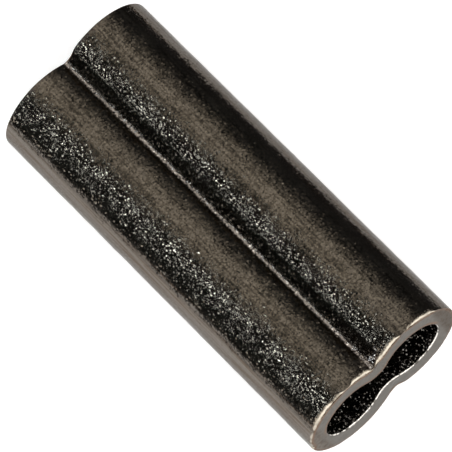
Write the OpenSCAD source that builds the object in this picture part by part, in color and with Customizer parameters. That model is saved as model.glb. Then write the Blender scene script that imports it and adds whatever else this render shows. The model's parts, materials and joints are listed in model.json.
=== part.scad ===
// Double-barrel crimp sleeve: two short tubes side by side, drawn as one piece, whose bores
// run into each other through a narrow neck. The sleeve lies on its two barrels, with its
// length along X, its barrels side by side along Y, and the surface it rests on at Z = 0.

/* [Barrels] */
// Length of the sleeve, end face to end face
sleeve_length = 10.5; // [7:0.1:14]
// Diameter of the bore through each barrel
bore_diameter = 1.6; // [1.34:0.01:1.92]
// Thickness of the wall round each bore
barrel_wall = 0.5; // [0.42:0.01:0.6]
// Distance between the axes of the two barrels
barrel_spacing = 1.8; // [1.5:0.01:2.16]

/* [Waist] */
// Radius at the bottom of the valley on each broad side
valley_radius = 0.12; // [0.06:0.01:0.24]
// Thickness of the wall between the valley and the neck
waist_wall = 0.54; // [0.45:0.01:0.65]

/* [Ends] */
// Bevel on the outer edge of each end face
rim_bevel = 0.08; // [0.04:0.01:0.14]
// Bevel on the inner edge of each end face
mouth_bevel = 0.05; // [0.02:0.01:0.1]

/* [Hidden] */

$fn = 96;
PLATING = [0.23, 0.215, 0.2];
// Overlap that lets a cutter run past the face that it cuts
PAST = 0.5;

bore_radius = bore_diameter / 2;
barrel_radius = bore_radius + barrel_wall;
half_spacing = barrel_spacing / 2;
// The barrels rest on Z = 0, so their axes lie one barrel radius above it
axis_height = barrel_radius;

// The valley's arc touches both barrels, so its centre is this far above the barrel axes
valley_centre = sqrt(pow(barrel_radius + valley_radius, 2) - pow(half_spacing, 2));
// Half the height of the neck, from the barrel axes to its roof at the middle
neck_half = valley_centre - valley_radius - waist_wall;
// The roof of the neck bulges into it on an arc that touches both bores
bulge_radius = (pow(half_spacing, 2) + pow(neck_half, 2) - pow(bore_radius, 2))
    / (2 * (bore_radius - neck_half));
bulge_centre = neck_half + bulge_radius;

// A cylinder along X, centred on the sleeve, whose radius changes by `flare` over the last
// stretch before each end face: less than 0 for a bevel, more than 0 for a mouth.
module round_bar(radius, flare) {
    reach = abs(flare);
    rotate([0, 90, 0]) {
        cylinder(r = radius, h = sleeve_length - 2 * reach, center = true);
        for (end = [0, 1])
            mirror([0, 0, end])
                translate([0, 0, sleeve_length / 2 - reach])
                    cylinder(r1 = radius, r2 = radius + flare, h = reach);
    }
}

// The same bar, run on past both end faces, for cutting
module round_cutter(radius, flare) {
    round_bar(radius, flare);
    rotate([0, 90, 0])
        for (end = [0, 1])
            mirror([0, 0, end])
                translate([0, 0, sleeve_length / 2])
                    cylinder(r = radius + flare, h = PAST);
}

// A block along X between the two barrel axes. Its slanted sides run from each axis towards
// the centre of the arc at height `arc_centre`, and stop `from_arc` short of that centre.
module tapered_block(arc_centre, from_arc, length) {
    slant = sqrt(pow(half_spacing, 2) + pow(arc_centre, 2));
    share = 1 - from_arc / slant;
    top_y = half_spacing * (1 - share);
    top_z = arc_centre * share;
    rotate([90, 0, 90])
        linear_extrude(height = length, center = true)
            polygon([
                [half_spacing, 0], [top_y, top_z], [-top_y, top_z],
                [-half_spacing, 0], [-top_y, -top_z], [top_y, -top_z],
            ]);
}

// Places what follows on both barrel axes
module on_both_barrels() {
    for (side = [-1, 1])
        translate([0, side * half_spacing, 0])
            children();
}

// Places what follows above and below the plane of the barrel axes
module above_and_below(height) {
    for (side = [-1, 1])
        translate([0, 0, side * height])
            children();
}

// Two bevelled barrels, and the web that fills the valleys between them to a small radius
module outside() {
    on_both_barrels()
        round_bar(barrel_radius, -rim_bevel);
    difference() {
        tapered_block(valley_centre, valley_radius, sleeve_length);
        above_and_below(valley_centre)
            round_cutter(valley_radius, rim_bevel);
    }
}

// The neck that joins the bores, narrowest where its roof and floor bulge towards each other
module neck() {
    difference() {
        tapered_block(bulge_centre, bulge_radius - mouth_bevel, sleeve_length + 2 * PAST);
        above_and_below(bulge_centre)
            round_cutter(bulge_radius, -mouth_bevel);
    }
}

module sleeve() {
    color(PLATING)
        translate([0, 0, axis_height])
            difference() {
                outside();
                on_both_barrels()
                    round_cutter(bore_radius, mouth_bevel);
                neck();
            }
}

sleeve();
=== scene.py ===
"""Looks of a double-barrel crimp sleeve: one drawn tube, black-nickel plated, on a pale floor.

The sleeve lies along X on its two barrels. Lengths are in metres, as the frame gives them, and
small ones are written as millimetres times MM. Names that end in _mm hold millimetres, which the
finishes' node groups work in.
"""

import json
import logging
import math
from dataclasses import dataclass, field
from enum import Enum
from typing import Sequence

import bpy
import numpy as np
from mathutils import Matrix, Vector


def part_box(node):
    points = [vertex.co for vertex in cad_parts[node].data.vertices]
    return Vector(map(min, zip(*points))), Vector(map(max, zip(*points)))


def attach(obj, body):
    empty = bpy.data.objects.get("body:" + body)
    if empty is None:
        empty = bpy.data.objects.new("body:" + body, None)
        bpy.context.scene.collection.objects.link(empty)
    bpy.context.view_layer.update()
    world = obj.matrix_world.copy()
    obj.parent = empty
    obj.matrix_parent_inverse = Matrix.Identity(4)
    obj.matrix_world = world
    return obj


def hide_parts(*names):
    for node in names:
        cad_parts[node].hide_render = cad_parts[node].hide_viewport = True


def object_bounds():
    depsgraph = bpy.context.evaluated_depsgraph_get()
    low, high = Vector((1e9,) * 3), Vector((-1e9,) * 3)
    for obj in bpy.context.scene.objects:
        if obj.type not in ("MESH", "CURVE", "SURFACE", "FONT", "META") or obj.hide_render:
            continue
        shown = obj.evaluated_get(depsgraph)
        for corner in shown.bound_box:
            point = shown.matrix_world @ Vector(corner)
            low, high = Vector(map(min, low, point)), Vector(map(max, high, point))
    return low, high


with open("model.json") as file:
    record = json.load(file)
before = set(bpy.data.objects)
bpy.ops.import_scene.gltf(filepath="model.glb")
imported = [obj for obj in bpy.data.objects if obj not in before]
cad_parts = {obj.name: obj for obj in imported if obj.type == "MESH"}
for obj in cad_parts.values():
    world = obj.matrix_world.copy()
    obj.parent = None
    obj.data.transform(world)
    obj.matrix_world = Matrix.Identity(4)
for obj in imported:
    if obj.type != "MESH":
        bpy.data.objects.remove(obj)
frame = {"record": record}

CAD_LOW, CAD_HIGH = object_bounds()
MM = 0.001
NODE = "sleeve"
# Marks kept on the mesh. The lip is a painted shade line with a copper tint, the valley is painted
# pale as a highlight, and the last is painted shade beside the valleys, in the pocket and on the
# +Y flank, plus a dark scribed line.
MARKS = ("rim", "lip", "valley", "flank", "shade_and_soot")
RGB = tuple[float, float, float]
CLOTH_WHITE: RGB = (1.0, 0.97, 0.93)

log = logging.getLogger("crimp_sleeve")


class Zone(Enum):
    """Stretches of the wall's skin, each with its own finish; the value is its material index."""

    OUTSIDE = 0
    CUT_FACE = 1
    BORE = 2


class End(Enum):
    """The two ends of the sleeve; the value is the sign of X there."""

    FAR = -1
    NEAR = 1


# ---- Shape ----


@dataclass(frozen=True)
class Section:
    """Sizes of the figure-of-eight section, in metres.

    Both outlines are chains of arcs that touch end to end: an arc round each barrel's axis, and
    an arc in each valley or neck whose centre lies on the sleeve's middle plane. The valley's
    radius and the waist's wall, which the frame doesn't give, repeat the part's own values.
    """

    barrel_radius: float
    bore_radius: float
    half_spacing: float
    valley_radius: float = 0.12 * MM
    waist_wall: float = 0.54 * MM

    @classmethod
    def from_frame(cls) -> "Section":
        """Reads the section from the CAD node's box and the record's bore.

        Returns:
            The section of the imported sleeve.
        """
        low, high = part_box(NODE)
        height = high[2] - low[2]
        mounts = {mount["name"]: mount for mount in frame["record"]["mounts"]}
        return cls(
            barrel_radius=height / 2,
            bore_radius=mounts["standing_line_bore"]["dims"]["r_mm"] * MM,
            half_spacing=(high[1] - low[1] - height) / 2,
        )

    @property
    def valley_centre(self) -> float:
        """Height of the valley arc's centre over the axes, where the arc touches both barrels."""
        reach = self.barrel_radius + self.valley_radius
        return math.sqrt(reach**2 - self.half_spacing**2)

    @property
    def neck_half(self) -> float:
        """Half the neck's height at its narrowest."""
        return self.valley_centre - self.valley_radius - self.waist_wall

    @property
    def bulge_radius(self) -> float:
        """Radius of the neck's bulging roof, which touches both bores."""
        spread = self.half_spacing**2 + self.neck_half**2 - self.bore_radius**2
        return spread / (2 * (self.bore_radius - self.neck_half))


@dataclass(frozen=True)
class Outline:
    """A closed chain of four arcs, sampled in columns that run anticlockwise seen from +X."""

    half_spacing: float
    round_radius: float
    middle_centre: float
    middle_radius: float
    material_inside: bool
    round_columns: int
    middle_columns: int

    def _arcs(self) -> tuple[np.ndarray, np.ndarray, np.ndarray, np.ndarray]:
        """Lays out the arcs' centres, directions, radii and facing, one value per column.

        Each barrel arc turns forwards from one tangent point to the next, and each middle arc
        turns back by the angle between its own two tangent points.

        Returns:
            Centres (n, 2), unit directions from them (n, 2), radii (n,) and facing (n,): +1 where
            the metal is on the centre's side of the arc, and -1 where it is on the other side.
        """
        turn = math.atan2(self.middle_centre, -self.half_spacing)
        back = math.pi - turn
        share_round = np.arange(self.round_columns) / self.round_columns
        share_middle = np.arange(self.middle_columns) / self.middle_columns
        right = -turn + 2 * turn * share_round
        top = -back - (math.pi - 2 * back) * share_middle
        angle = np.concatenate([right, top, right + math.pi, top + math.pi])
        counts = [self.round_columns, self.middle_columns] * 2
        spacing, rise = self.half_spacing, self.middle_centre
        centres = np.repeat([[spacing, 0], [0, rise], [-spacing, 0], [0, -rise]], counts, axis=0)
        radii = np.repeat([self.round_radius, self.middle_radius] * 2, counts)
        outward = 1.0 if self.material_inside else -1.0
        facing = np.repeat([outward, -outward] * 2, counts)
        return centres, np.stack([np.cos(angle), np.sin(angle)], axis=-1), radii, facing

    def points(self, inset: np.ndarray | float = 0.0) -> np.ndarray:
        """Places the columns, moved into the metal by an inset.

        Formula: centre + (radius - facing * inset) * direction. An offset of touching arcs keeps
        their centres and directions, so the columns stay in step at every inset.

        Args:
            inset: How far into the metal, one value or one per column, in metres.

        Returns:
            An (n, 2) array of Y and Z measured from the middle of the section.
        """
        centres, directions, radii, facing = self._arcs()
        return centres + (radii - facing * inset)[:, None] * directions

    def travel(self) -> np.ndarray:
        """Measures how far round each column is.

        Formula: the lengths of the steps before the column, over the length of the whole way.

        Returns:
            (n,) shares of the way round, from 0 up to 1.
        """
        points = self.points()
        steps = np.linalg.norm(np.roll(points, -1, axis=0) - points, axis=1)
        return np.concatenate([[0], np.cumsum(steps)[:-1]]) / steps.sum()


@dataclass(frozen=True)
class Ripple:
    """A seeded wavering along a closed edge: a sum of whole numbers of waves round the outline."""

    seed: int
    slowest: int = 4
    fastest: int = 30
    falloff: float = 0.6

    def along(self, travel: np.ndarray) -> np.ndarray:
        """Evaluates the wavering.

        Formula: the sum over k of k to the power -falloff, times the cosine of k turns plus a
        random phase, scaled to a largest value of 1.

        Args:
            travel: Share of the way round, from 0 to 1.

        Returns:
            Values from -1 to 1, one per given share.
        """
        rng = np.random.default_rng(self.seed)
        turns = np.arange(self.slowest, self.fastest)
        phase = rng.uniform(0, 2 * math.pi, len(turns))
        waves = np.cos(2 * math.pi * travel[:, None] * turns + phase) * turns**-self.falloff
        total = waves.sum(axis=1)
        return total / np.abs(total).max()


@dataclass(frozen=True)
class Unevenness:
    """A seeded field of waves in space, for the metal's gentle lumps."""

    seed: int
    shortest: float
    longest: float
    height: float
    waves: int = 56

    def at(self, points: np.ndarray) -> np.ndarray:
        """Evaluates the field.

        Formula: the sum of plane cosine waves in random directions, whose wavelengths are spread
        evenly by ratio between the shortest and the longest, over the root of their number and
        times the height.

        Args:
            points: (n, 3) places in metres.

        Returns:
            (n,) heights in metres, mostly within plus and minus the height.
        """
        rng = np.random.default_rng(self.seed)
        directions = rng.normal(size=(self.waves, 3))
        directions /= np.linalg.norm(directions, axis=1, keepdims=True)
        lengths = self.shortest * (self.longest / self.shortest) ** rng.uniform(size=self.waves)
        phase = rng.uniform(0, 2 * math.pi, self.waves)
        heights = np.cos(points @ (2 * math.pi * directions / lengths[:, None]).T + phase)
        return heights.sum(axis=1) * self.height / math.sqrt(self.waves)


@dataclass(frozen=True)
class Rim:
    """How one end's edges are broken, in metres: the outer roll-over and the inner bevel.

    The roll-over is full on top, is `under` times that beneath, falls to `in_valley` times that in
    the valleys, and is pinched by `nick_depth` at each nick, a distance across the top from the
    middle. The slant is how far the cut draws back per metre across from +Y to -Y. `rub` is how
    brightly the roll-over is rubbed, give or take the blotch, and `flake` is that of the bevel.
    """

    seed: int
    outer_reach: float = 0.14 * MM
    outer_inset: float = 0.06 * MM
    inner_reach: float = 0.045 * MM
    inner_inset: float = 0.035 * MM
    # The lip's painted shade beside the bore's mouth is none at the middle's height and full this
    # high over it.
    inner_shade_rise: float = 0.4 * MM
    slant: float = 0.0
    waver: float = 0.35
    ease: float = 1.3
    drop: float = 2.0
    under: float = 0.35
    valley_half: float = 0.17 * MM
    in_valley: float = 0.15
    nicks: tuple[float, ...] = ()
    nick_half: float = 0.15 * MM
    nick_depth: float = 0.9
    rub: float = 0.85
    least_rub: float = 0.3
    blotch: float = 0.45
    flake: float = 0.8
    lip_power: int = 8

    def fullness(self, outline: np.ndarray) -> np.ndarray:
        """Gives the roll-over's share of its full size at each column.

        Formula: the distance from the middle plane over valley_half, kept between in_valley and
        1, times the share beneath, times one less a flat-topped bell at each nick.

        Args:
            outline: (n, 2) places on the outside's outline.

        Returns:
            (n,) shares from 0 to 1.
        """
        across, height = outline.T
        full = np.clip(np.abs(across) / self.valley_half, self.in_valley, 1)
        full = full * np.where(height > 0, 1, self.under)
        for nick in self.nicks:
            pinched = np.exp(-np.square((across - nick) / self.nick_half) ** 2)
            full = full * (1 - self.nick_depth * pinched * (height > 0))
        return full

    def roll_waver(self, travel: np.ndarray) -> np.ndarray:
        """Gives the roll-over's size round the outline, about 1."""
        return 1 + self.waver * Ripple(self.seed).along(travel)

    def bevel_waver(self, travel: np.ndarray) -> np.ndarray:
        """Gives the bevel's size round the outline, about 1, in finer waves."""
        ripple = Ripple(self.seed + 5, slowest=9, fastest=90, falloff=0.4)
        return 1 + self.waver * ripple.along(travel)

    def roll_rub(self, travel: np.ndarray) -> np.ndarray:
        """Gives how far the roll-over is rubbed bright round the outline, from least_rub to 1."""
        ripple = Ripple(self.seed + 13, slowest=9, fastest=90, falloff=0.3)
        return np.clip(self.rub + self.blotch * ripple.along(travel), self.least_rub, 1)

    def bevel_rub(self, travel: np.ndarray) -> np.ndarray:
        """Gives how far the bevel is rubbed bright, in flakes, from 0 to 1."""
        ripple = Ripple(self.seed + 9, slowest=7, fastest=140, falloff=0.3)
        return np.clip(self.flake + self.flake * ripple.along(travel), 0, 1)


@dataclass
class CrimpSleeve:
    """The whole object: one closed skin round the wall of a figure-of-eight tube.

    The skin is a grid that closes on itself both ways. Its columns run round the section, and its
    rows run out along the outside, over the near end, back through the bores and over the far
    end, so the wall has its true thickness everywhere. The fields give the grid's rows and
    columns, then where the marks lie, then the relief.
    """

    section: Section
    length: float
    rim: dict[End, Rim] = field(default_factory=lambda: {
        End.NEAR: Rim(seed=41, nicks=(-0.72 * MM, 1.02 * MM, 1.97 * MM, 2.17 * MM)),
        End.FAR: Rim(seed=39, outer_reach=0.02 * MM, outer_inset=0.008 * MM, slant=0.01),
    })
    round_columns: int = 150
    middle_columns: int = 12
    outside_rows: int = 212
    bore_rows: int = 48
    edge_rows: int = 9
    round_rows: int = 4
    face_rows: int = 5
    # The face row that carries the lip's painted shade line beside the bore.
    shade_line_share: float = 0.93
    valley_mark: float = 0.046 * MM
    valley_flare: float = 0.5
    flare_along: float = 0.2 * MM
    valley_fade: float = 0.02 * MM
    # The pocket is painted dark as shade, and the loop round it pale as a highlight.
    pocket_back: float = 0.34 * MM
    pocket_y: float = 0.2 * MM
    pocket_radius: float = 0.17 * MM
    loop_half: float = 0.055 * MM
    flank_start: float = 1.74 * MM
    flank_blend: float = 0.06
    # Share of painted shade over the +Y flank, which darkens that side only.
    flank_shade: float = 0.36
    scribe_y: float = -1.905 * MM
    scribe_half: float = 0.025 * MM
    scribe_soot: float = 0.5
    # The valleys' margins are sunk a little and painted dark as shade.
    margin_edge: float = 0.29 * MM
    margin_slope: float = 0.08 * MM
    margin_depth: float = 0.035 * MM
    dent_depth: float = 0.05 * MM
    dent_y: float = 0.38 * MM
    dent_across: float = 0.26 * MM
    dent_along: float = 0.3 * MM
    swells: Unevenness = Unevenness(seed=11, shortest=0.5 * MM, longest=1.6 * MM,
                                    height=0.002 * MM)
    dimples: Unevenness = Unevenness(seed=12, shortest=0.16 * MM, longest=0.32 * MM,
                                     height=0.0009 * MM)
    nodules: int = 40
    nodule_seed: int = 23
    nodule_span: float = 0.48
    nodule_radius: float = 0.05 * MM
    nodule_height: float = 0.009 * MM
    smallest_nodule: float = 0.5
    plug_height: float = 0.05 * MM
    plug_from_end: float = 0.25 * MM
    plug_spread: float = 0.1 * MM
    plug_stretch: float = 2.0

    def outer(self) -> Outline:
        """Gives the outside's outline."""
        cut = self.section
        return Outline(cut.half_spacing, cut.barrel_radius, cut.valley_centre, cut.valley_radius,
                       True, self.round_columns, self.middle_columns)

    def inner(self) -> Outline:
        """Gives the outline of the two bores and the neck between them."""
        cut = self.section
        return Outline(cut.half_spacing, cut.bore_radius, cut.neck_half + cut.bulge_radius,
                       cut.bulge_radius, False, self.round_columns, self.middle_columns)

    def _end_rows(self, end: End) -> tuple[np.ndarray, np.ndarray, list[Zone]]:
        """Works out the rows over one end, from the outside into the bores.

        Formula: over the outer edge the way back from the end's plane is (1 - share) to the
        power ease and the way into the metal is share to the power drop, so the skin rolls over
        slowly and then drops to the face. The face is straight between the two outlines, and the
        inner edge is a quarter of an ellipse from the face to the bore's skin. Both edges waver
        in size round the outline, and the outer one is smallest in the valleys. The rim mark is
        half a sine wave over each edge, and the lip mark, a painted shade line with a copper
        tint, is full where the outside ends, and beside the inner edge on the upper half.

        Args:
            end: Which end.

        Returns:
            (rows, columns, 3) points, (rows, columns, 2) rim and lip marks and each row's zone.
        """
        rim, outer, inner = self.rim[end], self.outer(), self.inner()
        outline, travel = outer.points(), outer.travel()
        size, bevel_size = rim.roll_waver(travel), rim.bevel_waver(travel)
        crown, rubbed, flaked = rim.fullness(outline), rim.roll_rub(travel), rim.bevel_rub(travel)
        slanted = rim.slant * (outline[:, 0].max() - outline[:, 0])
        rows, weights, zones = [], [], []

        def add(yz: np.ndarray, drawn_back: np.ndarray, bared: np.ndarray | float,
                lip: np.ndarray | float, zone: Zone) -> None:
            """Adds a row.

            Args:
                yz: (columns, 2) places across.
                drawn_back: How far back the row lies from the end's plane.
                bared: The rim mark.
                lip: The lip mark.
                zone: The stretch of skin that the row belongs to.
            """
            x = end.value * (self.length / 2 - drawn_back - slanted)
            rows.append(np.column_stack([np.broadcast_to(x, len(yz)), yz]))
            weights.append(np.column_stack([np.broadcast_to(w, len(yz)) for w in (bared, lip)]))
            zones.append(zone)

        outer_reach, outer_inset = rim.outer_reach * size * crown, rim.outer_inset * size * crown
        for share in np.linspace(0, 1, self.edge_rows + 1):
            back, inward = (1 - share) ** rim.ease, share ** rim.drop
            add(outer.points(outer_inset * inward), outer_reach * back,
                math.sin(math.pi * share**2) * rubbed, share**rim.lip_power, Zone.OUTSIDE)
        inner_inset, inner_reach = rim.inner_inset * bevel_size, rim.inner_reach * bevel_size
        start, stop = outer.points(outer_inset), inner.points(inner_inset)
        # Painted shade: the lip beside the inner edge darkens the upper half only.
        upper_shade = np.clip(outline[:, 1] / rim.inner_shade_rise, 0, 1)
        for share in (*np.linspace(0, 1, self.face_rows + 1)[1:-1], self.shade_line_share):
            lip = upper_shade * (share == self.shade_line_share)
            add(start + (stop - start) * share, np.zeros(len(start)), 0.0, lip, Zone.CUT_FACE)
        for angle in np.linspace(0, math.pi / 2, self.round_rows + 1):
            back, inward = 1 - math.cos(angle), 1 - math.sin(angle)
            lip = upper_shade * math.cos(angle) ** rim.lip_power
            add(inner.points(inner_inset * inward), inner_reach * back,
                math.sin(2 * angle) * flaked, lip, Zone.BORE)
        return np.array(rows), np.array(weights), zones

    def grid(self) -> tuple[np.ndarray, np.ndarray, np.ndarray]:
        """Joins the rows of both ends, the outside and the bores into one closed grid.

        Returns:
            (rows, columns, 3) points, (rows, columns, 5) marks in the order of MARKS, and (rows,)
            material indices, where a row's index is that of the faces up to the next row.
        """
        near, near_marks, near_zones = self._end_rows(End.NEAR)
        far, far_marks, far_zones = self._end_rows(End.FAR)

        def between(first: np.ndarray, last: np.ndarray, count: int) -> np.ndarray:
            """Spreads straight rows between two edge rows, leaving both of them out."""
            share = np.linspace(0, 1, count + 2)[1:-1, None, None]
            return first + (last - first) * share

        outside = between(far[0], near[0], self.outside_rows)
        bore = between(near[-1], far[-1], self.bore_rows)
        points = np.concatenate([near, bore, far[::-1], outside])
        plain = [np.zeros((*rows.shape[:2], 2)) for rows in (bore, outside)]
        marks = np.concatenate([near_marks, plain[0], far_marks[::-1], plain[1]])
        marks = np.concatenate([marks, self._long_marks(points)], axis=-1)
        zones = [*near_zones, *[Zone.BORE] * len(bore),
                 *far_zones[::-1], *[Zone.OUTSIDE] * len(outside)]
        on_face = [Zone.CUT_FACE in pair for pair in zip(zones, zones[1:] + zones[:1])]
        strips = [Zone.CUT_FACE if cut else zone for cut, zone in zip(on_face, zones)]
        return points, marks, np.array([zone.value for zone in strips])

    def _outside_waist(self, height: np.ndarray) -> np.ndarray:
        """Tells the outside of the waist from the neck's skin, by the height over the axes."""
        return np.abs(height) > self.section.neck_half + self.section.waist_wall / 2

    def _long_marks(self, points: np.ndarray) -> np.ndarray:
        """Works out the marks that run along the sleeve: valley, flank, and painted shade with
        soot.

        Formula: the valley mark is a bell across each valley, wider towards the near end and
        ended just short of both, joined by the loop round the pocket; the material paints it pale
        as a highlight. The flank mark rises in a straight line from 0 at flank_start to 1 past it
        by the share flank_blend. The shade and soot mark is the most of four: painted shade in
        the valleys' margins, in the pocket and over a share of the +Y flank, and a dark bell
        across the line scribed along the -Y flank.

        Args:
            points: (rows, columns, 3) places on the skin, with Z from the barrels' axes.

        Returns:
            (rows, columns, 3) marks from 0 to 1.
        """
        x, y, z = np.moveaxis(points, -1, 0)
        outside = self._outside_waist(z)
        top = outside * (z > 0)
        fade = np.clip((self.length / 2 - np.abs(x)) / self.valley_fade - 1, 0, 1)
        flare = np.exp(-np.square((self.length / 2 - x) / self.flare_along))
        reach = self.valley_mark * (1 + self.valley_flare * flare)
        loop, pocket = self._pocket(x, y)
        # The valley and the loop are painted pale in the material as a highlight.
        valley = np.maximum(np.exp(-np.square(y / reach)) * outside * fade, loop * top)
        flank = np.clip(np.abs(y) / self.flank_start - 1, 0, self.flank_blend) / self.flank_blend
        scribed = np.exp(-np.square((y - self.scribe_y) / self.scribe_half))
        # Painted shade in the valleys' margins, the pocket and the +Y flank, and a dark bell on
        # the scribed line.
        shade_and_soot = np.maximum.reduce([self._margin(y) * outside * (fade > 0), pocket * top,
                                  self.flank_shade * flank * (y > 0), self.scribe_soot * scribed])
        return np.stack([valley, flank, shade_and_soot], axis=-1)

    def _pocket(self, x: np.ndarray, y: np.ndarray) -> tuple[np.ndarray, np.ndarray]:
        """Marks the pocket beside the valley's near end, painted dark as shade, and the loop round
        it, painted pale as a highlight.

        Formula: the loop is a bell of half width loop_half about a circle, cut off on its side
        towards the sleeve's middle, and the pocket is a flat-topped bell within the circle.

        Args:
            x: X of each place.
            y: Y of each place.

        Returns:
            The loop's and the pocket's shares from 0 to 1.
        """
        along = x - (self.length / 2 - self.pocket_back)
        away = np.hypot(along, y - self.pocket_y)
        loop = np.exp(-np.square((away - self.pocket_radius) / self.loop_half))
        loop = loop * np.clip(0.5 + along / self.pocket_radius, 0, 1)
        return loop, np.exp(-np.square(away / self.pocket_radius) ** 2)

    def _margin(self, across: np.ndarray) -> np.ndarray:
        """Gives the share of a valley's margin, painted dark as shade, which lies along its +Y
        side.

        Formula: a soft step up at the middle, times a soft step down at the margin's edge, both
        hyperbolic tangents.

        Args:
            across: Y of each place.

        Returns:
            Shares from 0 to 1.
        """
        down = 1 - np.tanh((across - self.margin_edge) / self.margin_slope)
        up = 1 + np.tanh(across / self.margin_slope)
        return down * up / 4

    @staticmethod
    def _normals(points: np.ndarray) -> np.ndarray:
        """Finds the skin's outward normals.

        Formula: at each place, the step from the column before to the one after, crossed with the
        step from the row before to the one after, made unit length.

        Args:
            points: (rows, columns, 3) places on the skin.

        Returns:
            (rows, columns, 3) unit normals.
        """
        sideways = np.roll(points, -1, axis=1) - np.roll(points, 1, axis=1)
        along = np.roll(points, -1, axis=0) - np.roll(points, 1, axis=0)
        normals = np.cross(sideways, along)
        return normals / np.linalg.norm(normals, axis=-1, keepdims=True)

    def _dented(self, points: np.ndarray) -> np.ndarray:
        """Sinks the near end's top a little beside the valley, on the +Y side.

        Formula: Z falls by the dent's depth, times exp(-(distance from its middle / spread)^2)
        along and across, times the share of the way through the wall from bore to outside.

        Args:
            points: (rows, columns, 3) places on the skin, with Z from the barrels' axes.

        Returns:
            The same places, dented.
        """
        section = self.section
        along = (self.length / 2 - points[..., 0]) / self.dent_along
        across = (points[..., 1] - self.dent_y) / self.dent_across
        reach = np.hypot(points[..., 1] - section.half_spacing, points[..., 2])
        through = (reach - section.bore_radius) / (section.barrel_radius - section.bore_radius)
        share = np.exp(-np.square(along) - np.square(across)) * np.clip(through, 0, 1)
        sunk = points.copy()
        sunk[..., 2] -= self.dent_depth * share * (points[..., 2] > 0)
        return sunk

    def _relief(self, points: np.ndarray) -> np.ndarray:
        """Adds up the metal's own relief: swells, dimples, plating nodules and valley plugs.

        Formula: the two wave fields, plus a round hill exp(-(distance / radius)^2) at each
        nodule, plus a hill at the near end of each valley, plug_stretch times as long as wide,
        less a shallow margin along each valley's +Y side, which ends in a soft step. The waves
        are lowered by their own height, so that the skin stays inside the sleeve's box.

        Args:
            points: (rows, columns, 3) places on the skin, with Z from the barrels' axes.

        Returns:
            (rows, columns) heights in metres.
        """
        flat = points.reshape(-1, 3)
        relief = self.swells.at(flat) + self.dimples.at(flat)
        relief -= self.swells.height + self.dimples.height
        rng = np.random.default_rng(self.nodule_seed)
        outer = self.outer().points()
        centres = np.column_stack([
            rng.uniform(-self.nodule_span, self.nodule_span, self.nodules) * self.length,
            outer[rng.integers(0, len(outer), self.nodules)],
        ])
        sizes = rng.uniform(self.smallest_nodule, 1.0, self.nodules)
        for centre, size in zip(centres, sizes):
            near = np.square(flat - centre).sum(axis=1) / (self.nodule_radius * size) ** 2
            relief += size * self.nodule_height * np.exp(-near)
        x, y, z = flat.T
        outside = self._outside_waist(z)
        along = (self.length / 2 - x - self.plug_from_end) / self.plug_stretch
        spread = (along**2 + y**2) / self.plug_spread**2
        relief += np.where(outside, self.plug_height * np.exp(-spread), 0)
        relief -= np.where(outside, self.margin_depth * self._margin(y), 0)
        return relief.reshape(points.shape[:2])

    def build(self) -> bpy.types.Object:
        """Makes the mesh object, with its marks as attributes and each face's material index set
        by its zone.

        Returns:
            The sleeve, with its place in its mesh.
        """
        points, marks, zones = self.grid()
        points = self._dented(points)
        points = points + self._normals(points) * self._relief(points)[..., None]
        points[..., 0] = np.clip(points[..., 0], -self.length / 2, self.length / 2)
        points[..., 2] += self.section.barrel_radius
        rows, columns = points.shape[:2]
        row, column = np.meshgrid(np.arange(rows), np.arange(columns), indexing="ij")
        next_row, next_column = (row + 1) % rows, (column + 1) % columns
        corners = [(row, column), (row, next_column), (next_row, next_column), (next_row, column)]
        quads = np.stack([r * columns + c for r, c in corners], axis=-1).reshape(-1, 4)
        mesh = bpy.data.meshes.new("sleeve_skin")
        mesh.from_pydata(points.reshape(-1, 3), [], quads)
        mesh.polygons.foreach_set("material_index", np.repeat(zones, columns).astype(np.int32))
        mesh.polygons.foreach_set("use_smooth", np.ones(len(quads), dtype=bool))
        for index, name in enumerate(MARKS):
            attribute = mesh.attributes.new(name, "FLOAT", "POINT")
            attribute.data.foreach_set("value", marks[..., index].reshape(-1).astype(np.float32))
        mesh.update()
        sleeve = bpy.data.objects.new("sleeve_skin", mesh)
        bpy.context.scene.collection.objects.link(sleeve)
        log.info("sleeve_skin: %d columns by %d rows", columns, rows)
        return sleeve

    def dress(self, sleeve: bpy.types.Object, finishes: dict[Zone, "Plating"]) -> None:
        """Gives each zone its finish, and puts the piece in the place of the CAD node.

        Args:
            sleeve: The object that build() made.
            finishes: One finish per zone.
        """
        for zone in Zone:
            sleeve.data.materials.append(finishes[zone].material())
        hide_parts(NODE)
        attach(sleeve, "root")


# ---- Finishes ----


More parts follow.
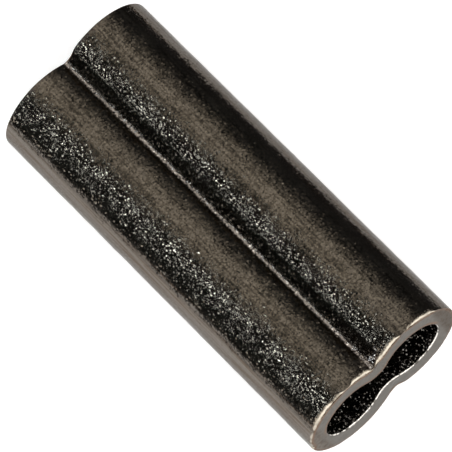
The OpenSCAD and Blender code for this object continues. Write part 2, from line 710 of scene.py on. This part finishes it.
@dataclass
class Wiring:
    """A small helper that places and joins nodes in one tree."""

    tree: bpy.types.NodeTree

    def node(self, kind: str, inputs: dict | None = None, **settings: object) -> bpy.types.Node:
        """Adds a node.

        Args:
            kind: The node's type name.
            inputs: Input socket to a value or to the output socket that feeds it.
            settings: Properties to set on the node, before its inputs.

        Returns:
            The new node.
        """
        node = self.tree.nodes.new(kind)
        for name, value in settings.items():
            setattr(node, name, value)
        self.feed(node, inputs or {})
        return node

    def feed(self, node: bpy.types.Node, inputs: dict) -> None:
        """Sets or joins inputs of a node.

        Args:
            node: The node.
            inputs: Input socket to a value or to the output socket that feeds it.
        """
        for key, value in inputs.items():
            if isinstance(value, bpy.types.NodeSocket):
                self.tree.links.new(value, node.inputs[key])
            else:
                node.inputs[key].default_value = value

    def math(self, operation: str, *values: object) -> bpy.types.NodeSocket:
        """Adds a Math node and returns its output."""
        return self.node("ShaderNodeMath", dict(enumerate(values)), operation=operation).outputs[0]

    def vector(self, operation: str, *values: object, output: int = 0) -> bpy.types.NodeSocket:
        """Adds a Vector Math node and returns its vector output, or its value's, which is 1."""
        return self.node("ShaderNodeVectorMath", dict(enumerate(values)),
                         operation=operation).outputs[output]

    def scaled(self, vector: bpy.types.NodeSocket, scale: object) -> bpy.types.NodeSocket:
        """Adds a Vector Math node that scales a vector and returns its output."""
        return self.node("ShaderNodeVectorMath", {0: vector, "Scale": scale},
                         operation="SCALE").outputs[0]

    def remap(self, value: bpy.types.NodeSocket, span: Sequence[float],
              to: Sequence[float] = (0.0, 1.0)) -> bpy.types.NodeSocket:
        """Adds a smooth, clamped Map Range node between two spans and returns its output."""
        places = {"Value": value, "From Min": span[0], "From Max": span[1],
                  "To Min": to[0], "To Max": to[1]}
        return self.node("ShaderNodeMapRange", places, interpolation_type="SMOOTHSTEP").outputs[0]

    def mix(self, factor: object, first: object, second: object) -> bpy.types.NodeSocket:
        """Adds a colour Mix node.

        Args:
            factor: The second colour's share, a number or a socket.
            first: A colour or a socket.
            second: A colour or a socket.

        Returns:
            The mixed colour's output.
        """
        colours = [value if isinstance(value, bpy.types.NodeSocket) else (*value, 1.0)
                   for value in (first, second)]
        places = {"Factor": factor, 6: colours[0], 7: colours[1]}
        return self.node("ShaderNodeMix", places, data_type="RGBA").outputs[2]

    def noise(self, vector: bpy.types.NodeSocket, size: object,
              detail: float) -> bpy.types.NodeSocket:
        """Adds a noise texture whose features are `size` millimetres apart.

        Args:
            vector: Coordinates in millimetres.
            size: Spacing in millimetres, a number or a socket.
            detail: Octaves of finer noise.

        Returns:
            The noise's output.
        """
        places = {"Vector": vector, "Scale": self.math("DIVIDE", 1.0, size), "Detail": detail}
        return self.node("ShaderNodeTexNoise", places).outputs[0]


def make_group(name: str, inputs: dict[str, float], outputs: dict[str, str]
               ) -> tuple[bpy.types.NodeTree, Wiring, bpy.types.Node, bpy.types.Node]:
    """Makes an empty shader node group with named sockets, of which the first is its place.

    Args:
        name: The group's name.
        inputs: Name of each number that it takes to its default.
        outputs: Name of each output to its kind, Vector or Float.

    Returns:
        The group, its wiring, its input node and its output node.
    """
    group = bpy.data.node_groups.new(name, "ShaderNodeTree")
    group.interface.new_socket("Place", in_out="INPUT", socket_type="NodeSocketVector")
    for key, default in inputs.items():
        socket = group.interface.new_socket(key, in_out="INPUT", socket_type="NodeSocketFloat")
        socket.default_value = default
    for key, kind in outputs.items():
        group.interface.new_socket(key, in_out="OUTPUT", socket_type=f"NodeSocket{kind}")
    wiring = Wiring(group)
    return group, wiring, wiring.node("NodeGroupInput"), wiring.node("NodeGroupOutput")


class EffectGroups:
    """The effects that the finishes share, each a node group that is made once."""

    crystals_per_swell: float = 2.8
    patch_span: tuple[float, float] = (0.36, 0.64)
    streak_span: tuple[float, float] = (0.4, 0.7)
    streaks_per_cloud: float = 6.0
    streak_stretch: float = 30.0

    def __init__(self) -> None:
        """Makes both groups."""
        self.grain = self._grain()
        self.tarnish = self._tarnish()

    def _grain(self) -> bpy.types.NodeTree:
        """Makes the plated grain: a crust of crystals, each tipped its own way, on soft swells.

        Formula: the normal of a noise bump, plus a random vector that is the same all over each
        Voronoi cell, scaled by the tilt and by a random number to the power of the calm, and made
        unit length. The higher the calm, the fewer crystals are tipped far.

        Returns:
            A group that gives the grain's normal and a random tone from crystal to crystal.
        """
        group, wire, given, out = make_group(
            "plated_grain", {"Crystal": 0.06, "Tilt": 0.2, "Calm": 1.0, "Swell": 0.004},
            {"Normal": "Vector", "Tone": "Float"})
        place = wire.scaled(given.outputs["Place"], 1 / MM)
        crystal = given.outputs["Crystal"]
        spacing = wire.math("MULTIPLY", crystal, self.crystals_per_swell)
        soft = wire.noise(place, spacing, 1.0)
        depth = wire.math("MULTIPLY", given.outputs["Swell"], MM)
        bump = wire.node("ShaderNodeBump", {"Height": soft, "Strength": 1.0, "Distance": depth})
        cells = wire.node("ShaderNodeTexVoronoi",
                          {"Vector": place, "Scale": wire.math("DIVIDE", 1.0, crystal)},
                          feature="F1", distance="EUCLIDEAN")
        lean = wire.vector("SUBTRACT", cells.outputs["Color"], (0.5, 0.5, 0.5))
        chance = wire.node("ShaderNodeTexWhiteNoise", {"Vector": cells.outputs["Color"]})
        share = wire.math("POWER", chance.outputs[0], given.outputs["Calm"])
        far = wire.math("MULTIPLY", given.outputs["Tilt"], share)
        leaned = wire.vector("ADD", wire.scaled(lean, far), bump.outputs[0])
        unit = wire.vector("NORMALIZE", leaned)
        tone = wire.node("ShaderNodeSeparateColor", {0: chance.outputs[1]}).outputs[1]
        wire.feed(out, {"Normal": unit, "Tone": tone})
        return group

    def _tarnish(self) -> bpy.types.NodeTree:
        """Makes the tarnish: cloudy patches, and streaks that drawing left along X.

        Formula: both are noise, and the streaks' is finer than the clouds' and stretched along X.

        Returns:
            A group that gives a mask of each from 0 to 1.
        """
        group, wire, given, out = make_group(
            "tarnish_clouds", {"Cloud": 0.5}, {"Patches": "Float", "Streaks": "Float"})
        place = wire.scaled(given.outputs["Place"], 1 / MM)
        clouds = wire.noise(place, given.outputs["Cloud"], 3.0)
        drawn_out = wire.vector("MULTIPLY", place, (1 / self.streak_stretch, 1.0, 1.0))
        spacing = wire.math("DIVIDE", given.outputs["Cloud"], self.streaks_per_cloud)
        lines = wire.noise(drawn_out, spacing, 1.0)
        wire.feed(out, {"Patches": wire.remap(clouds, self.patch_span),
                        "Streaks": wire.remap(lines, self.streak_span)})
        return group


@dataclass(frozen=True)
class Plating:
    """Black nickel plating on one zone of the sleeve.

    The colours are the tarnish's two tones, the rubbed rim, then the flanks' two, the painted
    shade with soot, the lip's painted shade line with its copper tint, and the valley's painted
    highlight. Tilt and calm say how far the crystals lean and how few lean far.
    """

    name: str
    groups: EffectGroups
    dark: RGB
    pale: RGB
    worn: RGB
    crystal_mm: float
    tilt: float
    calm: float
    swell_mm: float
    cloud_mm: float
    roughness: tuple[float, float]
    worn_roughness: float = 0.2
    wear: float = 0.9
    speckle: float = 3.2
    lines: float = 1.6
    cloudy_rub: float = 0.3
    rub_span: tuple[float, float] = (0.5, 1.0)
    # The valley's painted highlight: how it is speckled and spread, and how much further its
    # crystals lean.
    highlight_speckle: float = 0.6
    highlight_span: tuple[float, float] = (0.7, 1.2)
    valley_tilt: float = 0.5
    calm_span: tuple[float, float] = (0.0, 0.8)
    smoothed: float = 0.45
    gloss_speckle: float = 0.5
    flank_haze: float = 0.1
    drawn: RGB = (0.172, 0.155, 0.137)
    rusty: RGB = (0.122, 0.095, 0.074)
    # Painted shade with soot, the lip's painted shade line tinted copper, and the valley's painted
    # highlight.
    shade_and_soot_colour: RGB = (0.034, 0.026, 0.019)
    lip: RGB = (0.19, 0.125, 0.088)
    valley_highlight: RGB = (0.44, 0.405, 0.37)
    edge_tint: RGB = (0.6, 0.6, 0.6)

    def material(self) -> bpy.types.Material:
        """Builds the material.

        The colour drifts between two tones with the tarnish, and on the flanks between two
        others with the streaks. It turns to painted shade with soot, rubbed metal, the lip's
        brown (a painted shade line with a copper tint) and the valley's pale painted highlight as
        the attributes say, the rubbing where the rim and the clouds meet. The grain tips each
        crystal, less on the rim and flanks and more in the valley, and the gloss changes from
        crystal to crystal.

        Returns:
            The material.
        """
        material = bpy.data.materials.new(self.name)
        material.use_nodes = True
        wire = Wiring(material.node_tree)
        shader = material.node_tree.nodes["Principled BSDF"]
        place = wire.node("ShaderNodeTexCoord").outputs["Object"]
        grain = wire.node("ShaderNodeGroup", node_tree=self.groups.grain)
        clouds = wire.node("ShaderNodeGroup", node_tree=self.groups.tarnish)
        wire.feed(grain, {"Place": place, "Crystal": self.crystal_mm, "Calm": self.calm,
                          "Swell": self.swell_mm})
        wire.feed(clouds, {"Place": place, "Cloud": self.cloud_mm})
        rim, lip, valley, flank, shade_and_soot = (
            wire.node("ShaderNodeAttribute", attribute_name=name).outputs["Fac"] for name in MARKS)
        patches, streaks = clouds.outputs["Patches"], clouds.outputs["Streaks"]
        tone = grain.outputs["Tone"]
        rubbed = wire.math("MULTIPLY_ADD", patches, self.cloudy_rub, rim)
        bared = wire.remap(rubbed, self.rub_span, (0, self.wear))
        # Painted highlight: the valley and the loop turn pale.
        valley_highlit = wire.remap(wire.math("MULTIPLY_ADD", tone, self.highlight_speckle, valley),
                             self.highlight_span)
        calmed = wire.math("MAXIMUM", rim, flank)
        tilt = wire.remap(calmed, self.calm_span, (self.tilt, self.tilt * self.smoothed))
        wire.feed(grain, {"Tilt": wire.math("MULTIPLY_ADD", valley, self.valley_tilt, tilt)})
        stain = wire.math("MULTIPLY_ADD", tone, self.speckle, patches)
        stain = wire.math("MULTIPLY_ADD", streaks, -self.lines, stain)
        stain = wire.remap(stain, (-self.lines, 1 + self.speckle))
        drawn = wire.mix(streaks, self.drawn, self.rusty)
        colour = wire.mix(flank, wire.mix(stain, self.dark, self.pale), drawn)
        # Painted shade: the valleys' margins, the pocket and the +Y flank turn dark, as does the
        # scribed line.
        colour = wire.mix(bared, wire.mix(shade_and_soot, colour, self.shade_and_soot_colour), self.worn)
        # The lip is a painted shade line with a copper tint, and the valley's pale colour is a
        # painted highlight.
        colour = wire.mix(valley_highlit, wire.mix(lip, colour, self.lip), self.valley_highlight)
        gloss = wire.math("MULTIPLY_ADD", tone, self.gloss_speckle, patches)
        gloss = wire.remap(gloss, (0, 1 + self.gloss_speckle), self.roughness)
        gloss = wire.math("MULTIPLY_ADD", flank, self.flank_haze, gloss)
        smooth = wire.node("ShaderNodeMix", {"Factor": bared, 2: gloss, 3: self.worn_roughness},
                           data_type="FLOAT").outputs[0]
        wire.feed(shader, {
            "Base Color": colour, "Roughness": smooth, "Metallic": 1.0,
            "Specular Tint": (*self.edge_tint, 1), "Normal": grain.outputs["Normal"],
        })
        log.info("finish %s", self.name)
        return material


def make_finishes(groups: EffectGroups) -> dict[Zone, Plating]:
    """Lists the sleeve's finishes.

    Args:
        groups: The shared effects.

    Returns:
        One finish per zone.
    """
    outside = Plating("grainy_black_nickel", groups, dark=(0.05, 0.043, 0.034),
                      pale=(0.232, 0.206, 0.166), worn=(0.47, 0.43, 0.365), crystal_mm=0.037,
                      tilt=0.42, calm=0.8, swell_mm=0.002, cloud_mm=0.35, roughness=(0.06, 0.12),
                      worn_roughness=0.25)
    face = Plating("cut_face_nickel", groups, dark=(0.138, 0.128, 0.117),
                   pale=(0.172, 0.161, 0.146), worn=(0.42, 0.38, 0.32), crystal_mm=0.07,
                   tilt=0.06, calm=1.0, swell_mm=0.001, cloud_mm=0.5, roughness=(0.28, 0.34),
                   wear=0.0)
    bore = Plating("bore_black_nickel", groups, dark=(0.08, 0.072, 0.06),
                   pale=(0.12, 0.115, 0.108), worn=(0.85, 0.82, 0.77), crystal_mm=0.027,
                   tilt=2.0, calm=3.6, swell_mm=0.002, cloud_mm=0.4, roughness=(0.1, 0.2))
    return {Zone.OUTSIDE: outside, Zone.CUT_FACE: face, Zone.BORE: bore}


# ---- Studio ----


def stand_off(item: bpy.types.Object, axes: tuple[Vector, Vector, Vector], target: Vector,
              distance: float) -> None:
    """Links a lamp or a camera to the scene, facing a target from a distance.

    Args:
        item: The lamp or camera, which looks along its own -Z.
        axes: Its X, Y and Z axes, of which Z points away from the target.
        target: The point that it faces.
        distance: How far off it stands.
    """
    turned = Matrix(axes).transposed().to_4x4()
    item.matrix_world = Matrix.Translation(target + axes[2] * distance) @ turned
    bpy.context.scene.collection.objects.link(item)


@dataclass(frozen=True)
class Softbox:
    """An area light that points at the sleeve, brightest in the middle of its face.

    Its place is given as the way to it from the sleeve, in degrees: `lean` is its tilt from
    upright towards +X, and `turn` swings it from there towards +Y about X. The spread is a share
    of the face.
    """

    name: str
    lean: float
    turn: float
    distance: float
    across: float
    along: float
    radiance: float
    colour: RGB
    spread: float

    def place(self, target: Vector) -> None:
        """Makes the light.

        Args:
            target: The point that it faces.
        """
        lean, turn = math.radians(self.lean), math.radians(self.turn)
        away = Vector((math.sin(lean), math.cos(lean) * math.sin(turn),
                       math.cos(lean) * math.cos(turn)))
        light = bpy.data.lights.new(self.name, "AREA")
        light.shape = "RECTANGLE"
        light.size, light.size_y = self.across, self.along
        light.energy = self.radiance * math.pi * self.across * self.along
        light.color = self.colour
        light.use_nodes = True
        wire = Wiring(light.node_tree)
        face = wire.node("ShaderNodeNewGeometry").outputs["Parametric"]
        wire.feed(light.node_tree.nodes["Emission"], {"Strength": self.pattern(wire, face)})
        lamp = bpy.data.objects.new(self.name, light)
        lamp.visible_camera = False
        side = Vector((1, 0, 0)).cross(away).normalized()
        stand_off(lamp, (side, away.cross(side), away), target, self.distance)
        log.info("light %s", self.name)

    def pattern(self, wire: Wiring, face: bpy.types.NodeSocket) -> bpy.types.NodeSocket:
        """Gives the strength over the face, as cloth over a lamp has it.

        Formula: exp(-(distance from the middle / spread)^2), with the face 1 wide and 1 long.

        Args:
            wire: The light's nodes.
            face: The two parameters of a place on the face.

        Returns:
            The strength, where 1 is the light's own.
        """
        off = wire.vector("DISTANCE", face, (0.5, 0.5, 0.0), output=1)
        squared = wire.math("POWER", wire.math("DIVIDE", off, self.spread), 2.0)
        return wire.math("EXPONENT", wire.math("MULTIPLY", squared, -1.0))


@dataclass(frozen=True)
class LampPanel(Softbox):
    """A panel of small round lamps in rows, with dark between them, like a bank of diodes."""

    pitch: float = 0.06
    lamp_radius: float = 0.12
    brightness: tuple[float, float] = (0.3, 1.7)

    def pattern(self, wire: Wiring, face: bpy.types.NodeSocket) -> bpy.types.NodeSocket:
        """Gives the strength over the face: full on each lamp, and none between them.

        Formula: the face's parameters times the number of lamps each way, taken to their
        fractions, are a place in a cell. A lamp is where that is within its radius of the cell's
        middle, and its strength is a random one for the cell between the two of brightness. The
        whole fades to its edges as a softbox does.

        Args:
            wire: The light's nodes.
            face: The two parameters of a place on the face.

        Returns:
            The strength, where 1 is the light's own.
        """
        counts = (round(self.across / self.pitch), round(self.along / self.pitch), 1)
        grid = wire.vector("MULTIPLY", face, counts)
        off = wire.vector("DISTANCE", wire.vector("FRACTION", grid), (0.5, 0.5, 0.0), output=1)
        chance = wire.node("ShaderNodeTexWhiteNoise", {"Vector": wire.vector("FLOOR", grid)})
        lit = wire.math("LESS_THAN", off, self.lamp_radius)
        share = wire.remap(chance.outputs[0], (0, 1), self.brightness)
        strength = wire.math("MULTIPLY", lit, share)
        return wire.math("MULTIPLY", strength, super().pattern(wire, face))


@dataclass(frozen=True)
class Flag:
    """A low dark sheet that stands on the floor between two places, to trim its reflection."""

    name: str
    start: tuple[float, float]
    stop: tuple[float, float]
    glow: float


@dataclass
class Studio:
    """A pale floor, lights over it, and two dark flags that trim the floor's reflection.

    The flags show only where the plating mirrors them, and they cast no shadow.
    """

    middle: Vector
    floor_half: float = 0.5
    floor_tone: float = 0.8
    floor_glow: float = 0.6
    flag_height: float = 2.4 * MM
    flags: tuple[Flag, ...] = (
        Flag("front_flag", (-12.0 * MM, 7.3 * MM), (4.6 * MM, 4.85 * MM), 0.05),
        Flag("back_flag", (-14.0 * MM, -20.0 * MM), (0.0, -20.0 * MM), 0.2),
    )
    air: RGB = (0.05, 0.05, 0.053)
    lights: tuple[Softbox, ...] = (
        Softbox("front_softbox", lean=36, turn=0, distance=0.3, across=0.5, along=0.3,
                radiance=2.8, colour=CLOTH_WHITE, spread=0.45),
        *(Softbox(f"{side}_softbox", lean=27, turn=turn, distance=0.3, across=0.36, along=0.3,
                  radiance=2.6, colour=CLOTH_WHITE, spread=0.5)
          for side, turn in (("left", -64), ("right", 64))),
        Softbox("warm_panel", lean=-21, turn=20.5, distance=0.4, across=0.8, along=0.8,
                radiance=0.74, colour=(1.0, 0.93, 0.86), spread=0.245),
        LampPanel("lamp_panel", lean=-21, turn=-37, distance=0.4, across=0.48, along=0.54,
                  radiance=12.6, colour=(0.82, 0.91, 1.0), spread=0.5),
    )

    @staticmethod
    def _sheet(name: str, corners: Sequence[Sequence[float]], tone: float,
               glow: float) -> bpy.types.Object:
        """Makes a matte four-cornered sheet that belongs to the stage.

        Args:
            name: Its name.
            corners: Its four corners in order.
            tone: Its grey.
            glow: How much light it gives by itself, as a light table does.

        Returns:
            The sheet.
        """
        mesh = bpy.data.meshes.new(name)
        mesh.from_pydata(corners, [], [(0, 1, 2, 3)])
        material = bpy.data.materials.new(name)
        material.use_nodes = True
        Wiring(material.node_tree).feed(material.node_tree.nodes["Principled BSDF"], {
            "Base Color": (tone, tone, tone, 1), "Roughness": 0.9, "Specular IOR Level": 0.0,
            "Emission Color": (1, 1, 1, 1), "Emission Strength": glow,
        })
        mesh.materials.append(material)
        sheet = bpy.data.objects.new(name, mesh)
        bpy.context.scene.collection.objects.link(sheet)
        return sheet

    def build(self) -> None:
        """Makes the floor, the flags, the lights and the air, and sets plain colour handling."""
        half = self.floor_half
        self._sheet("floor", [(-half, -half, 0), (half, -half, 0), (half, half, 0),
                              (-half, half, 0)], self.floor_tone, self.floor_glow)
        top = self.flag_height
        for flag in self.flags:
            corners = [(*flag.start, 0), (*flag.stop, 0), (*flag.stop, top), (*flag.start, top)]
            sheet = self._sheet(flag.name, corners, 0.0, flag.glow)
            sheet.visible_camera = False
            sheet.visible_diffuse = False
            sheet.visible_shadow = False
        for light in self.lights:
            light.place(self.middle)
        world = bpy.data.worlds.new("studio_air")
        world.use_nodes = True
        world.node_tree.nodes["Background"].inputs["Color"].default_value = (*self.air, 1)
        scene = bpy.context.scene
        scene.world = world
        scene.view_settings.view_transform = "Standard"


@dataclass(frozen=True)
class StudioCamera:
    """A long lens that looks down on the sleeve, with its length across the frame's diagonal.

    The view tips from straight down by `tilt` towards +X and by `swing` towards +Y, and turns
    about itself by `roll`, all in degrees. The lens is in millimetres.
    """

    tilt: float = 21.04
    swing: float = -1.07
    roll: float = 44.88
    distance: float = 144.1 * MM
    lens: float = 508.0
    aim: tuple[float, float] = (-0.005 * MM, -0.0334 * MM)
    clip: tuple[float, float] = (1 * MM, 10.0)

    def build(self, height: float) -> None:
        """Makes the scene's camera.

        Args:
            height: Height of the point that it looks at.
        """
        tilt, swing, roll = (math.radians(a) for a in (self.tilt, self.swing, self.roll))
        back = Vector((math.sin(tilt) * math.cos(swing), math.sin(swing),
                       math.cos(tilt) * math.cos(swing)))
        level = (Vector((1, 0, 0)) - back * back.x).normalized()
        upright = level.cross(-back)
        right = level * math.cos(roll) + upright * math.sin(roll)
        up = upright * math.cos(roll) - level * math.sin(roll)
        data = bpy.data.cameras.new("studio_camera")
        data.lens = self.lens
        data.clip_start, data.clip_end = self.clip
        camera = bpy.data.objects.new("studio_camera", data)
        stand_off(camera, (right, up, back), Vector((*self.aim, height)), self.distance)
        bpy.context.scene.camera = camera


def main() -> None:
    """Builds the studio, the sleeve and its finishes."""
    logging.basicConfig(level=logging.INFO, format="%(name)s: %(message)s")
    section = Section.from_frame()
    sleeve = CrimpSleeve(section, CAD_HIGH[0] - CAD_LOW[0])
    StudioCamera().build(section.barrel_radius)
    Studio(Vector((0, 0, section.barrel_radius))).build()
    skin = sleeve.build()
    sleeve.dress(skin, make_finishes(EffectGroups()))
    log.info("boxes written")


if __name__ == "__main__":
    main()
